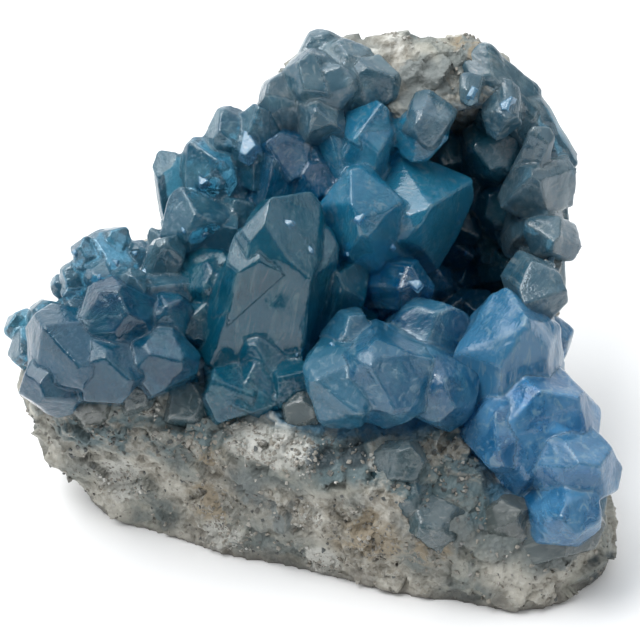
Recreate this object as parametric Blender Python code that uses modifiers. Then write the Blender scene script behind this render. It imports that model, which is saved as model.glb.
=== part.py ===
"""Celestite geode: a broken bowl of pale host rock, lined with grown-together blue celestite crystals.

The geode stands on a small flat on its underside. X runs to the right and Y away from the viewer
who looks into the bowl, and Z is up. The origin is on the flat that it rests on.
"""

import math
import random

import bmesh
import bpy
from mathutils import Euler, Matrix, Vector, noise
from mathutils.bvhtree import BVHTree

MM = 0.001

# Sizes in millimetres, angles in degrees.
ROCK_VOXEL = 2.2
ROCK_TRIANGLES = 2800
ROCK_ROUGHNESS = (26.0, 2.6)
HOLLOW_ROUGHNESS = (18.0, 1.6)
GROWTH_ROUGHNESS = (14.0, 2.5)
BED_TRIANGLES = 520
BED_THICKNESS = 3.2
CRUST_GAP = 0.45
SHARPEST_RIM = 3.0
FLAT_ANGLE = 3.0

# How far a crystal's faces vary from their nominal distance, as shares of it.
PRISM_SPREAD = (0.8, 1.05)
FLAT_SPREAD = (0.85, 1.3)
ROOF_SPREAD = (0.88, 1.08)
RIDGE_END_SPREAD = (0.85, 1.2)
CORNER_SPREAD = (1.5, 2.1)
RIDGE_SHARE = 0.17
CRYSTAL_SEED = 11

# The small crystals between the large ones.
DRUSE_COUNT = 64
DRUSE_WIDTH = (5.0, 9.0)
DRUSE_SLENDERNESS = (1.3, 1.9)
DRUSE_SPACING = 7.0
DRUSE_ROOT = 0.35
DRUSE_FACING = 0.42
DRUSE_LEAN = 0.5
DRUSE_TILT = 0.4
DRUSE_SEED = 49

# The viewer who looks into the bowl. Crystal seats are stated as that viewer sees them.
VIEW_ELEVATION = 40.0
VIEW_DISTANCE = 700.0
VIEW_CENTRE = Vector((0.0, 0.0, 40.6))

# Rock lumps: centre x, y, z, half sizes along the lump's own x, y, z, and its turn about X, Y and Z.
ROCK_LUMPS = {
    "body": ((-2, -9, 10), (54, 35, 30), (0, 0, -17)),
    "back_foot": ((8, 14, 17), (42, 24, 24), (0, 0, -4)),
    "right_foot": ((41, -26, 6), (21, 21, 20), (0, 0, 0)),
    "left_lobe": ((-38, -3, 25), (25, 20, 25), (0, 0, 8)),
    "left_ridge": ((-20, 14, 33), (23, 19, 23), (0, -20, 20)),
    "back_wall": ((12, 26, 44), (37, 20, 38), (0, 0, 0)),
    "right_wall": ((36, 14, 36), (13, 24, 34), (0, 0, 14)),
    "top_ridge": ((17, 36, 68), (28, 12, 19), (0, 0, -4)),
}

# Hollows taken out of the lumps: the open bowl and the deeper pocket under the right wall.
HOLLOWS = {
    "bowl": ((-10, -13, 77), (60, 40, 35), (30, 0, 0)),
    "pocket": ((31, 14, 54), (17, 22, 26), (0, 0, 10)),
    "pocket_floor": ((33, 18, 40), (13, 15, 16), (0, 0, 0)),
}

# Where crystals cover the rock: the bowl with its rim, and the pocket.
GROWTH = {
    "left_lobe": ((-46, 0, 42), (19, 19, 19), (0, 15, 0)),
    "left_ridge": ((-18, 12, 62), (24, 24, 26), (0, 0, 0)),
    "middle": ((0, -12, 50), (40, 22, 22), (10, 6, -10)),
    "right_flank": ((47, -24, 24), (15, 20, 19), (0, 0, 0)),
    "crest": ((6, 26, 80), (18, 14, 13), (0, 0, 0)),
    "pocket": ((33, 12, 50), (17, 24, 33), (0, 0, 10)),
}

# Flat breaks: a point that the plane goes through and its outward normal.
REST_FACE = ((0, 0, 0), (0, 0, -1))
FRONT_BREAK = ((2, -34.5, 0), (-0.31, -0.95, -0.04))

# Large crystals as the viewer sees them. Each row has the middle of the crystal to the right of and
# above the middle of the view, how far that middle stands off the bed towards the viewer, how much
# its long axis leans right and up, its length, width and thickness, and the turn about that axis.
CRYSTALS = {
    "left_bead": (-62.0, -1.2, 0, -0.5, 0.3, 9, 7, 7, 0),
    "left_back": (-56.5, -1.0, 2, -0.3, 0.4, 13, 9, 9, 60),
    "left_upper_block": (-52.4, -6.2, 6, -0.2, 0.1, 18, 16, 15, 50),
    "left_lower_block": (-55.5, -12.5, 4, -0.2, -0.3, 18, 13, 12, 20),
    "left_notch": (-52.4, 6.2, 1, -0.5, 0.3, 10, 6, 6, 0),
    "left_clear": (-44.0, 10.5, 5, -0.1, 0.35, 20, 18, 15, 35),
    "left_middle": (-42.6, 0.0, 6, 0.1, 0.3, 17, 14, 12, 10),
    "left_slab": (-33.3, 9.4, 4, 0.3, 0.85, 20, 8, 8, 15),
    "left_wedge": (-32.5, -1.0, 5, 0.3, 0.5, 14, 9, 9, 80),
    "left_slope": (-33.3, -8.7, 4, 0.1, 0.1, 15, 12, 11, 70),
    "ridge_pale": (-30.6, 28.5, 3, -0.2, 0.85, 15, 7, 7, 10),
    "ridge_dark": (-26.0, 19.0, 5, -0.1, 0.6, 19, 15, 13, 40),
    "ridge_middle": (-23.3, 31.6, 4, -0.1, 0.5, 15, 13, 12, 60),
    "ridge_top": (-18.3, 38.3, 3, -0.4, 0.4, 13, 10, 10, 30),
    "ridge_bright": (-15.2, 35.8, 4, 0.2, -0.1, 10, 8, 8, 45),
    "crest_gray": (-7.5, 45.0, 3, -0.1, 0.75, 16, 10, 10, 20),
    "crest_clear": (0.4, 41.2, 5, 0.1, 0.2, 13, 10, 10, 45),
    "crest_left": (-1.0, 49.0, 3, -0.3, 0.6, 17, 12, 11, 0),
    "crest_high": (5.0, 54.0, 2, -0.1, 0.6, 13, 12, 11, 50),
    "crest_low": (3.5, 48.5, 3, 0.3, 0.4, 13, 10, 9, 15),
    "inner_blade": (-9.4, 29.0, 5, 0.2, 0.85, 16, 9, 7, 0),
    "inner_deep": (-1.7, 27.5, 4, 0.3, 0.7, 14, 9, 9, 20),
    "hall_front": (-10.8, 9.4, 12, 0.2, 0.8, 36, 23, 20, 12),
    "hall_left": (-22.5, 6.0, 6, -0.1, 0.7, 17, 10, 9, 60),
    "hall_side": (3.1, 4.6, 9, 0.3, 0.7, 22, 13, 12, 60),
    "hall_foot": (-12.0, -7.3, 5, 0.0, -0.1, 13, 10, 10, 30),
    "great_right": (17.0, 23.0, 13, 0.75, 0.2, 32, 25, 24, 75),
    "great_left": (8.0, 20.0, 9, -0.2, 0.5, 20, 14, 13, 30),
    "great_behind": (10.0, 34.0, 5, 0.2, 0.8, 16, 9, 9, 0),
    "under_great": (15.6, 7.7, 8, 0.7, -0.1, 19, 10, 9, 40),
    "under_great_right": (23.5, 7.5, 8, 0.5, 0.2, 12, 8, 8, 10),
    "frosted_left": (5.5, -15.6, 7, -0.2, -0.3, 20, 15, 14, 60),
    "frosted_middle": (13.5, -12.5, 10, 0.0, -0.2, 22, 17, 15, 30),
    "frosted_right": (25.0, -14.6, 8, 0.3, -0.2, 17, 13, 12, 15),
    "frosted_back": (21.0, -4.0, 8, 0.4, 0.4, 24, 16, 14, 75),
    "frosted_step": (7.0, -4.5, 7, -0.1, 0.4, 15, 10, 10, 0),
    "right_peak": (40.0, -3.0, 9, 0.05, 0.88, 28, 21, 18, 35),
    "right_edge": (48.5, -3.5, 2, 0.2, 0.4, 12, 8, 8, 0),
    "right_bright": (45.0, -20.5, 12, 0.3, 0.4, 29, 26, 22, 55),
    "right_belly": (38.5, -23.0, 7, -0.2, 0.1, 20, 15, 14, 20),
    "right_low": (52.5, -31.0, 7, 0.3, 0.1, 24, 18, 16, 65),
    "right_foot": (50.5, -40.0, 4, 0.2, -0.4, 20, 14, 12, 40),
    "pocket_block": (36.0, 34.7, 6, -0.3, -0.2, 16, 14, 13, 50),
    "pocket_low": (37.4, 24.0, 5, -0.4, 0.0, 13, 10, 9, 10),
    "rim_facet": (45.0, 35.4, 2, 0.3, 0.8, 13, 6, 6, 0),
    "rim_right": (45.0, 19.8, 3, 0.2, 0.4, 15, 12, 11, 30),
    "rim_low": (45.6, 10.5, 2, 0.4, -0.1, 9, 7, 7, 70),
    "rim_foot": (45.0, 5.6, 2, 0.3, -0.1, 9, 7, 7, 0),
    "arch_bright": (38.9, 44.9, 2, 0.0, -0.8, 9, 5, 5, 0),
    "arch_small": (31.4, 47.0, 2, -0.1, -0.8, 7, 5, 5, 40),
    "arch_gray": (22.0, 41.0, 4, -0.2, -0.4, 12, 9, 9, 20),
}

# Edges of the celestite crystal cell in angstroms, which set the angle of every crystal face.
CELL_A, CELL_B, CELL_C = 8.36, 5.35, 6.87


def clear_scene():
    for item in list(bpy.data.objects):
        bpy.data.objects.remove(item, do_unlink=True)


def new_collection(name):
    collection = bpy.data.collections.new(name)
    bpy.context.scene.collection.children.link(collection)
    return collection


def material(name, colour, roughness):
    made = bpy.data.materials.new(name)
    made.use_nodes = True
    shader = made.node_tree.nodes["Principled BSDF"]
    shader.inputs["Base Color"].default_value = (*colour, 1.0)
    shader.inputs["Roughness"].default_value = roughness
    shader.inputs["Metallic"].default_value = 0.0
    return made


def view_axes():
    """The viewer's right, up and backward directions."""
    lift = math.radians(VIEW_ELEVATION)
    right = Vector((1, 0, 0))
    up = Vector((0, math.sin(lift), math.cos(lift)))
    back = Vector((0, -math.cos(lift), math.sin(lift)))
    return right, up, back


def mesh_object(name, bm, collection):
    mesh = bpy.data.meshes.new(name)
    bm.to_mesh(mesh)
    bm.free()
    made = bpy.data.objects.new(name, mesh)
    collection.objects.link(made)
    return made


def apply_modifiers(item):
    """Replaces the object's mesh by what its modifiers make."""
    graph = bpy.context.evaluated_depsgraph_get()
    made = bpy.data.meshes.new_from_object(item.evaluated_get(graph))
    item.modifiers.clear()
    item.data = made


def lumps_object(name, lumps, collection, voxel):
    """Ellipsoids that run into each other, as one smooth closed skin."""
    bm = bmesh.new()
    for centre, half, turn in lumps.values():
        angles = Euler([math.radians(angle) for angle in turn])
        place = Matrix.Translation(Vector(centre)) @ angles.to_matrix().to_4x4()
        size = Matrix.Diagonal((*half, 1.0))
        bmesh.ops.create_icosphere(bm, subdivisions=4, radius=1.0, matrix=place @ size)
    item = mesh_object(name, bm, collection)
    one_skin(item, voxel, 6)
    return item


def one_skin(item, voxel, smoothing):
    """Remeshes whatever overlaps as one closed skin of even faces and rounds it."""
    remesh = item.modifiers.new("one skin", "REMESH")
    remesh.mode = "VOXEL"
    remesh.voxel_size = voxel
    smooth = item.modifiers.new("soft joins", "SMOOTH")
    smooth.factor = 0.6
    smooth.iterations = smoothing
    apply_modifiers(item)


def roughen(item, roughness, seed):
    """Moves each point along its normal by noise: broad lumps, smaller ledges and pits."""
    scale, depth = roughness
    mesh = item.data
    shift = Vector((seed, 2.0 * seed, -seed))
    normals = [v.normal.copy() for v in mesh.vertices]
    for vertex, normal in zip(mesh.vertices, normals):
        broad = noise.noise(vertex.co / scale + shift)
        ledge = noise.ridged_multi_fractal(vertex.co / (0.45 * scale) + shift, 1.0, 2.0, 3, 1.0, 2.0)
        vertex.co += normal * depth * (broad + 0.35 * (ledge - 1.0))


def cut_flat(item, point, normal):
    bm = bmesh.new()
    bm.from_mesh(item.data)
    everything = bm.verts[:] + bm.edges[:] + bm.faces[:]
    bmesh.ops.bisect_plane(
        bm, geom=everything, plane_co=Vector(point), plane_no=Vector(normal).normalized(), clear_outer=True
    )
    rim = [edge for edge in bm.edges if edge.is_boundary]
    bmesh.ops.holes_fill(bm, edges=rim, sides=0)
    bmesh.ops.recalc_face_normals(bm, faces=bm.faces[:])
    bm.to_mesh(item.data)
    bm.free()


def boolean(item, operation, other=None, collection=None):
    cut = item.modifiers.new(operation.lower(), "BOOLEAN")
    cut.operation = operation
    cut.solver = "EXACT"
    if collection is not None:
        cut.operand_type = "COLLECTION"
        cut.collection = collection
    else:
        cut.object = other
    apply_modifiers(item)


def decimate(item, triangles):
    count = sum(len(face.vertices) - 2 for face in item.data.polygons)
    thin = item.modifiers.new("fewer faces", "DECIMATE")
    thin.ratio = min(1.0, triangles / count)
    apply_modifiers(item)


def swollen(item, name, collection, distance, most=1.0):
    """A copy that stands off by the distance, and by up to most times that at a sharp rim."""
    copy = bpy.data.objects.new(name, item.data.copy())
    collection.objects.link(copy)
    bm = bmesh.new()
    bm.from_mesh(copy.data)
    moves = []
    for vertex in bm.verts:
        slant = min(vertex.normal.dot(face.normal) for face in vertex.link_faces)
        moves.append(vertex.normal * distance / max(slant, 1.0 / most))
    for vertex, move in zip(bm.verts, moves):
        vertex.co += move
    bm.to_mesh(copy.data)
    bm.free()
    return copy


def hide(collection):
    """Marks everything in the collection as a cutter or a guide."""
    for item in collection.objects:
        item.hide_render = True
        item.display_type = "WIRE"


def build_rock(parts, helpers):
    """Lumps broken off along the front, hollowed, thinned and cut flat where the geode rests."""
    rock = lumps_object("host_rock", ROCK_LUMPS, parts, ROCK_VOXEL)
    cut_flat(rock, *FRONT_BREAK)
    one_skin(rock, ROCK_VOXEL, 2)
    roughen(rock, ROCK_ROUGHNESS, seed=3.0)
    hollow = lumps_object("hollow", HOLLOWS, helpers, ROCK_VOXEL)
    roughen(hollow, HOLLOW_ROUGHNESS, seed=8.0)
    boolean(rock, "DIFFERENCE", hollow)
    one_skin(rock, ROCK_VOXEL, 1)
    decimate(rock, ROCK_TRIANGLES)
    cut_flat(rock, *REST_FACE)
    return rock


def face_direction(h, k, l):
    """The direction of a crystal face by its Miller indices, with the a axis along local Z."""
    return Vector((k / CELL_B, l / CELL_C, h / CELL_A)).normalized()


def prism_faces(width, thickness, rng):
    """The sides: four faces of a rhombic prism, blunted by two flats."""
    faces = []
    for k in (-1, 1):
        for l in (-1, 1):
            faces.append((face_direction(0, k, l), 0.5 * width * rng.uniform(*PRISM_SPREAD)))
    for l in (-1, 1):
        faces.append((face_direction(0, 0, l), 0.5 * thickness * rng.uniform(*FLAT_SPREAD)))
    return faces


def roof_faces(length, rng):
    """The two faces that meet in a ridge at the tip, and the flat root end."""
    faces = [(face_direction(-1, 0, 0), 0.5 * length)]
    for k in (-1, 1):
        along = face_direction(2, k, 0)
        faces.append((along, 0.5 * length * along.z * rng.uniform(*ROOF_SPREAD)))
    return faces


def shoulder_faces(length, thickness, rng):
    """The faces that cut the ridge's two ends and the corners below it."""
    faces = []
    for l in (-1, 1):
        along = face_direction(1, 0, l)
        ridge_end = 0.5 * length * along.z + RIDGE_SHARE * thickness
        faces.append((along, ridge_end * rng.uniform(*RIDGE_END_SPREAD)))
        for k in (-1, 1):
            along = face_direction(1, k, l)
            faces.append((along, 0.5 * length * along.z * rng.uniform(*CORNER_SPREAD)))
    return faces


def crystal_bmesh(faces, size):
    """A block cut down to a celestite crystal by one plane for each of its faces."""
    bm = bmesh.new()
    bmesh.ops.create_cube(bm, size=3.0 * size)
    for direction, distance in faces:
        everything = bm.verts[:] + bm.edges[:] + bm.faces[:]
        bmesh.ops.bisect_plane(
            bm, geom=everything, plane_co=direction * distance, plane_no=direction, clear_outer=True
        )
        rim = [edge for edge in bm.edges if edge.is_boundary]
        if rim:
            bmesh.ops.contextual_create(bm, geom=rim)
    bmesh.ops.recalc_face_normals(bm, faces=bm.faces[:])
    return bm


def along_axis(axis, turn):
    """The rotation that points local Z along the axis, after a turn about it."""
    return axis.to_track_quat("Z", "Y").to_matrix() @ Matrix.Rotation(math.radians(turn), 3, "Z")


def bed_point(surface, u, v):
    """The point of the rock that the viewer sees at u to the right and v up, in millimetres."""
    right, up, back = view_axes()
    eye = VIEW_CENTRE + back * VIEW_DISTANCE
    towards = (VIEW_CENTRE + right * u + up * v - eye).normalized()
    hit = surface.ray_cast(eye, towards)[0]
    if hit is None:
        beside = VIEW_CENTRE + right * u + up * v
        nearest = surface.find_nearest(beside)[0]
        hit = beside + towards * (nearest - beside).dot(towards)
    return hit, -towards


def large_crystals(surface, crystals, rng):
    """The crystals of the table, each with its middle a stated rise off the bed."""
    right, up, _ = view_axes()
    for name, row in CRYSTALS.items():
        u, v, rise, lean_right, lean_up, length, width, thickness, turn = row
        hit, to_viewer = bed_point(surface, u, v)
        forward = math.sqrt(max(0.0, 1.0 - lean_right**2 - lean_up**2))
        axis = (right * lean_right + up * lean_up + to_viewer * forward).normalized()
        faces = prism_faces(width, thickness, rng) + roof_faces(length, rng)
        bm = crystal_bmesh(faces + shoulder_faces(length, thickness, rng), length)
        place = Matrix.Translation(hit + to_viewer * rise) @ along_axis(axis, turn).to_4x4()
        bm.transform(place)
        mesh_object("crystal_" + name, bm, crystals)


def is_inside(surface, point):
    """True if the point lies inside the closed surface."""
    nearest, normal, _, _ = surface.find_nearest(point)
    return (nearest - point).dot(normal) > 0


def druse_seats(rock, growth, rng):
    """Points spread over the faces that crystals cover, each with its face's normal."""
    inside = BVHTree.FromObject(growth, bpy.context.evaluated_depsgraph_get())
    back = view_axes()[2]
    faces = []
    for face in rock.data.polygons:
        if face.normal.dot(back) > DRUSE_FACING and is_inside(inside, face.center):
            faces.append(face)
    areas = [face.area for face in faces]
    seats = []
    while len(seats) < DRUSE_COUNT:
        face = rng.choices(faces, weights=areas)[0]
        corners = [rock.data.vertices[i].co for i in face.vertices]
        a, b = sorted((rng.random(), rng.random()))
        point = corners[0] * a + corners[1] * (b - a) + corners[2] * (1.0 - b)
        if all((point - other).length >= DRUSE_SPACING for other, _ in seats):
            seats.append((point, face.normal))
            yield seats[-1]


def druse(rock, growth, crystals, rng):
    """Small crystals that cover the bed between the large ones, smaller towards its edges."""
    back = view_axes()[2]
    for number, (point, normal) in enumerate(druse_seats(rock, growth, rng)):
        width = rng.uniform(*DRUSE_WIDTH) * (0.55 + 0.45 * normal.dot(back))
        length = width * rng.uniform(*DRUSE_SLENDERNESS)
        tilt = Vector((rng.uniform(-1, 1), rng.uniform(-1, 1), rng.uniform(-1, 1)))
        axis = (normal + DRUSE_LEAN * back + DRUSE_TILT * tilt).normalized()
        bm = crystal_bmesh(prism_faces(width, width, rng) + roof_faces(length, rng), length)
        place = Matrix.Translation(point + axis * (0.5 * length - DRUSE_ROOT * width))
        bm.transform(place @ along_axis(axis, rng.uniform(0, 180)).to_4x4())
        mesh_object(f"druse_{number:02d}", bm, crystals)


def keep_largest(item):
    """Drops the slivers that a cut leaves loose and keeps the one grown-together body."""
    bm = bmesh.new()
    bm.from_mesh(item.data)
    bmesh.ops.remove_doubles(bm, verts=bm.verts[:], dist=0.001)
    bm.verts.ensure_lookup_table()
    seen, islands = set(), []
    for start in bm.verts:
        if start.index in seen:
            continue
        island, queue = [], [start]
        seen.add(start.index)
        while queue:
            vertex = queue.pop()
            island.append(vertex)
            for edge in vertex.link_edges:
                other = edge.other_vert(vertex)
                if other.index not in seen:
                    seen.add(other.index)
                    queue.append(other)
        islands.append(island)
    islands.sort(key=len)
    loose = [vertex for island in islands[:-1] for vertex in island]
    bmesh.ops.delete(bm, geom=loose, context="VERTS")
    bm.to_mesh(item.data)
    bm.free()


def dissolve_flat(item):
    """Joins faces that lie nearly in one plane and cuts the result into triangles."""
    bm = bmesh.new()
    bm.from_mesh(item.data)
    bmesh.ops.dissolve_limit(bm, angle_limit=math.radians(FLAT_ANGLE), verts=bm.verts[:], edges=bm.edges[:])
    bmesh.ops.triangulate(bm, faces=bm.faces[:])
    bm.to_mesh(item.data)
    bm.free()


def build_crust(rock, parts, helpers):
    """A thin bed grown together with all the crystals, cut to stand just clear of the rock."""
    surface = BVHTree.FromObject(rock, bpy.context.evaluated_depsgraph_get())
    growth = lumps_object("growth", GROWTH, helpers, ROCK_VOXEL)
    roughen(growth, GROWTH_ROUGHNESS, seed=5.0)
    decimate(growth, BED_TRIANGLES)
    crystals = new_collection("crystals")
    large_crystals(surface, crystals, random.Random(CRYSTAL_SEED))
    druse(rock, growth, crystals, random.Random(DRUSE_SEED))
    crust = swollen(rock, "celestite_crust", parts, BED_THICKNESS)
    one_skin(crust, ROCK_VOXEL, 1)
    decimate(crust, BED_TRIANGLES)
    boolean(crust, "INTERSECT", growth)
    boolean(crust, "UNION", collection=crystals)
    gap = swollen(rock, "gap", helpers, CRUST_GAP, most=SHARPEST_RIM)
    boolean(crust, "DIFFERENCE", gap)
    keep_largest(crust)
    dissolve_flat(crust)
    hide(crystals)
    return crust


def main():
    clear_scene()
    parts = new_collection("celestite_geode")
    helpers = new_collection("helpers")
    rock = build_rock(parts, helpers)
    crust = build_crust(rock, parts, helpers)
    hide(helpers)
    rock.data.materials.append(material("host_rock", (0.56, 0.54, 0.49), 0.85))
    crust.data.materials.append(material("celestite", (0.22, 0.42, 0.58), 0.15))
    for item in (rock, crust):
        item.data.transform(Matrix.Scale(MM, 4))


main()
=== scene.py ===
"""Celestite geode: rough pale host rock, its bowl and side pocket lined with blue celestite crystals."""

import math
import random

import bpy
import numpy as np
from mathutils import Euler, Matrix, Vector, noise
from mathutils.bvhtree import BVHTree


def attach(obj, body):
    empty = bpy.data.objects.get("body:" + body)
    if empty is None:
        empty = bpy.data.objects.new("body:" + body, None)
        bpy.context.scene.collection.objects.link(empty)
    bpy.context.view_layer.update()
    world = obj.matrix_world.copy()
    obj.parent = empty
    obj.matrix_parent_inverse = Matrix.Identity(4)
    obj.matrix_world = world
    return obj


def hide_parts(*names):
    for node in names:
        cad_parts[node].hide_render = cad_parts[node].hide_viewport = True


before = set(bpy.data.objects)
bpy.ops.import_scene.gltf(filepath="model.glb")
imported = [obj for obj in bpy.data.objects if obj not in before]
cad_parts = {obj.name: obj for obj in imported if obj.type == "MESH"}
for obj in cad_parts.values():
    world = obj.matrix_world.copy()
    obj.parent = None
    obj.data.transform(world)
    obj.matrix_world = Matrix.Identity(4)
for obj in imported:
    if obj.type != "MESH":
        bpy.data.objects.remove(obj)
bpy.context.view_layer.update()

MM = 0.001
BODY = "root"

# In millimetres and degrees, where nothing else is said. Finished pieces are scaled to metres.
VIEW_ELEVATION = 40.0
VIEW_DISTANCE = 700.0
VIEW_CENTRE = Vector((0.0, 0.0, 40.6))
VIEW_HALF_WIDTH = 66.56
SENSOR_WIDTH = 36.0

# Lights: how far round from the front they stand and how high, then distance and size in metres, and watts.
KEY = (-95, 57, 0.9, 0.9, 6.5)
FILL = (60, 35, 1.0, 0.8, 1.9)
WINDOW = (-60, 68, 1.0, 0.3, 2.2)

# The grids that the skins of the crystals and of the rock are made on.
CRYSTAL_GRID = 0.42
ROCK_GRID = 0.9

# Edges of the celestite crystal cell in angstroms, which set the angle of every crystal face.
CELL_A, CELL_B, CELL_C = 8.36, 5.35, 6.87

# How far a crystal's faces vary from their nominal distance, as shares of it.
PRISM_SPREAD = (0.8, 1.05)
FLAT_SPREAD = (0.85, 1.3)
ROOF_SPREAD = (0.88, 1.08)
RIDGE_END_SPREAD = (0.85, 1.2)
CORNER_SPREAD = (1.5, 2.1)
RIDGE_SHARE = 0.17
# A crystal is cut from a block this many times as long, and narrows by this share towards its tip.
BLOCK_SHARE = 3.0
USUAL_TAPER = 0.2
CRYSTAL_SEED = 11

# Large crystals as the viewer sees them. Each row has the middle of the crystal to the right of and
# above the middle of the view, how far that middle stands off the rock towards the viewer, how much
# its long axis leans right and up, its length, width and thickness, and the turn about that axis.
CRYSTALS = {
    "left_bead": (-62, -1.2, 0, -0.5, 0.3, 9, 7, 7, 0),
    "left_back": (-56.5, -1, 2, -0.3, 0.4, 13, 9, 9, 60),
    "block_upper": (-52, -6, 6, -0.2, 0.1, 20, 18, 17, 50),
    "block_lower": (-55.5, -12.5, 4, -0.2, -0.3, 18, 14, 13, 20),
    "left_notch": (-52.4, 6.2, 1, -0.5, 0.3, 10, 6, 6, 0),
    "left_clear": (-44, 10.5, 5, -0.1, 0.35, 17, 15, 13, 35),
    "left_spark_back": (-43, 15.5, 8, 0.1, 0.7, 10, 7, 7, 60),
    "left_spark_high": (-48.5, 13.5, 9, -0.3, 0.5, 9, 7, 6, 10),
    "left_spark_right": (-37.5, 13, 9, 0.4, 0.4, 9, 7, 6, 35),
    "left_spark_front": (-45.5, 8.5, 11, -0.2, 0.1, 10, 7, 7, 80),
    "left_spark_low": (-39.5, 7.5, 10, 0.3, 0, 10, 7, 7, 20),
    "left_spark_edge": (-50.5, 8.5, 7, -0.6, 0.1, 9, 7, 6, 50),
    "block_middle": (-42, 0.5, 6, 0.1, 0.3, 19, 16, 14, 10),
    "left_slab": (-33.3, 9.4, 4, 0.3, 0.85, 20, 8, 8, 15),
    "block_wedge": (-32, -0.5, 6, 0.3, 0.5, 16, 11, 10, 80),
    "block_low": (-43.5, -10, 5, 0.1, 0, 17, 14, 13, 40),
    "block_slope": (-33, -8.5, 5, 0.1, 0.1, 17, 14, 13, 70),
    "ridge_pale": (-30.6, 28.5, 3, -0.2, 0.85, 15, 7, 7, 10),
    "ridge_dark": (-26, 19, 5, -0.1, 0.6, 19, 15, 13, 40),
    "ridge_middle": (-23.3, 31.6, 4, -0.1, 0.5, 15, 13, 12, 60),
    "ridge_top": (-18.3, 38.3, 3, -0.4, 0.4, 13, 10, 10, 30),
    "ridge_bright": (-15.2, 35.8, 4, 0.2, -0.1, 10, 8, 8, 45),
    "crest_gray": (-7.5, 45, 3, -0.1, 0.75, 16, 10, 10, 20),
    "crest_clear": (0.4, 41.2, 5, 0.1, 0.2, 13, 10, 10, 45),
    "crest_left": (-1, 49, 3, -0.3, 0.6, 17, 12, 11, 0),
    "crest_high": (5, 53, 0, -0.1, 0.6, 13, 12, 11, 50),
    "crest_low": (3.5, 48.5, 3, 0.3, 0.4, 13, 10, 9, 15),
    "inner_blade": (-9.4, 29, 5, 0.2, 0.85, 16, 9, 7, 0),
    "inner_deep": (-1.7, 27.5, 4, 0.3, 0.7, 14, 9, 9, 20),
    "hall_front": (-9.4, 10.4, 12, 0.2, 0.8, 36, 21, 19, 12),
    "hall_front_wing": (-12.8, 8, 12.5, 0.16, 0.8, 32, 17, 16, 20),
    "hall_front_fold": (-5.5, 7.5, 11, 0.26, 0.78, 31, 16, 15, -4),
    "hall_left": (-22.5, 6, 6, -0.1, 0.7, 17, 10, 9, 60),
    "hall_side": (3.1, 4.6, 9, 0.3, 0.7, 22, 13, 12, 60),
    "hall_foot": (-12, -7.3, 5, 0, -0.1, 13, 10, 10, 30),
    "great_right": (17, 23, 13, 0.75, 0.2, 32, 25, 24, 75),
    "great_left": (9, 21.5, 9, -0.2, 0.5, 24, 17, 15, 30),
    "great_behind": (10, 34, 5, 0.2, 0.8, 16, 9, 9, 0),
    "under_great": (15.6, 7.7, 8, 0.7, -0.1, 19, 10, 9, 40),
    "under_great_right": (23.5, 7.5, 8, 0.5, 0.2, 12, 8, 8, 10),
    "frosted_left": (5.5, -14.2, 7, -0.2, -0.2, 20, 17, 16, 60),
    "frosted_middle": (13.5, -12, 10, 0, -0.2, 24, 19, 17, 30),
    "frosted_right": (25, -14.6, 8, 0.3, -0.2, 18, 15, 14, 15),
    "frosted_back": (21, -4, 8, 0.4, 0.4, 24, 16, 14, 75),
    "frosted_step": (6.5, -4.5, 7, -0.1, 0.4, 17, 12, 12, 0),
    "right_peak": (40, -5.5, 8, 0.05, 0.8, 24, 21, 18, 35),
    "right_edge": (48.5, -3.5, 2, 0.2, 0.4, 12, 8, 8, 0),
    "right_bright": (45, -20.5, 12, 0.3, 0.4, 29, 26, 22, 55),
    "right_belly": (38.5, -23, 7, -0.2, 0.1, 20, 15, 14, 20),
    "right_low": (52.5, -31, 7, 0.3, 0.1, 24, 18, 16, 65),
    "right_foot": (50.5, -40, 4, 0.2, -0.4, 20, 14, 12, 40),
    "pocket_block": (36, 34.7, 6, -0.3, -0.2, 16, 14, 13, 50),
    "pocket_low": (37.4, 24, 5, -0.4, 0, 13, 10, 9, 10),
    "rim_facet": (45, 35.4, 2, 0.3, 0.8, 13, 6, 6, 0),
    "rim_right": (45, 19.8, 3, 0.2, 0.4, 15, 12, 11, 30),
    "rim_low": (45.6, 10.5, 2, 0.4, -0.1, 9, 7, 7, 70),
    "rim_foot": (45, 5.6, 2, 0.3, -0.1, 9, 7, 7, 0),
    "arch_bright": (38.9, 44.9, 2, 0, -0.8, 9, 5, 5, 0),
    "arch_small": (31.4, 47, 2, -0.1, -0.8, 7, 5, 5, 40),
    "arch_gray": (22, 41, 4, -0.2, -0.4, 12, 9, 9, 20),
    "arch_wall_top": (36, 49, -5, -0.6, 0.6, 19, 11, 10, 30),
    "arch_wall_high": (43, 39.5, -3, -0.4, 0.8, 22, 13, 12, 20),
    "arch_wall_middle": (44.5, 27, -4, -0.1, 0.95, 17, 12, 11, 0),
    "arch_wall_low": (46, 14, -3, 0, 0.9, 17, 11, 10, 40),
    "crest_top": (1, 53.5, -2, -0.6, 0.4, 16, 11, 10, 25),
    "crest_right": (10.5, 49, -2, 0.3, 0.3, 16, 12, 11, 55),
    "band_far_left": (-47, -17.5, -2, -0.2, 0.3, 13, 9, 8, 20),
    "band_left": (-38, -15.5, -2, 0.1, 0.2, 13, 9, 8, 50),
    "band_middle": (-28, -17.5, -2, 0.3, 0.3, 15, 10, 9, 10),
    "band_notch": (-18, -15, -1, -0.2, 0.4, 14, 10, 9, 70),
    "band_star": (-4, -18, -2, 0.2, 0.1, 14, 10, 9, 40),
    "band_under": (15, -29.5, -3, 0.6, 0.1, 18, 9, 8, 15),
    "band_gray": (24.3, -42, -4.5, -0.5, 0.3, 17, 11, 10, 60),
    "band_gray_small": (18, -36, -4, 0.2, 0.3, 12, 9, 9, 0),
    "band_right": (48, -43.5, -4, 0.8, 0.15, 24, 12, 11, 20),
    "band_right_low": (38, -42, -4.5, 0.5, 0.3, 16, 11, 10, 65),
}

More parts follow.
